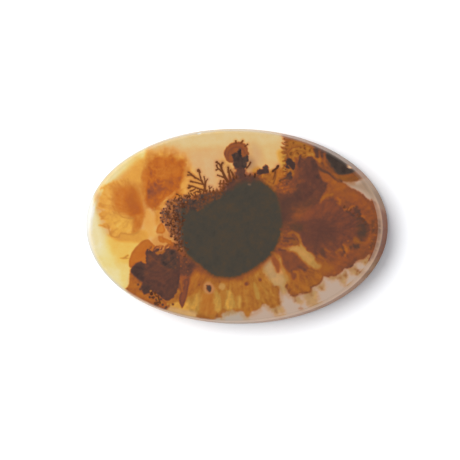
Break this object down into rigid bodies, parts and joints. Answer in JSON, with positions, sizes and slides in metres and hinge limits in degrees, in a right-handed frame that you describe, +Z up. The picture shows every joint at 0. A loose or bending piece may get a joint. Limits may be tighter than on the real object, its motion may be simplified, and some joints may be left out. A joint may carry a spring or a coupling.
{
  "type": "dendritic agate tablet",
  "caption": "Polished oval tablet of translucent agate with a dark core, fern-like dendrites and orange-brown plumes; flat front and flat back, bevelled side.",
  "frame": {"origin": "middle of the flat back, on the surface the stone lies on", "axes": "+Z up through the stone to its polished front face, +X along the long axis of the oval, +Y across it"},
  "size_m": [0.05, 0.032, 0.005],
  "materials": {
    "agate": "polished translucent agate, pale honey to milky white, with orange-brown plumes and near-black dendrites inside"
  },
  "bodies": {
    "root": {"agate_tablet": "agate"}
  },
  "joints": []
}
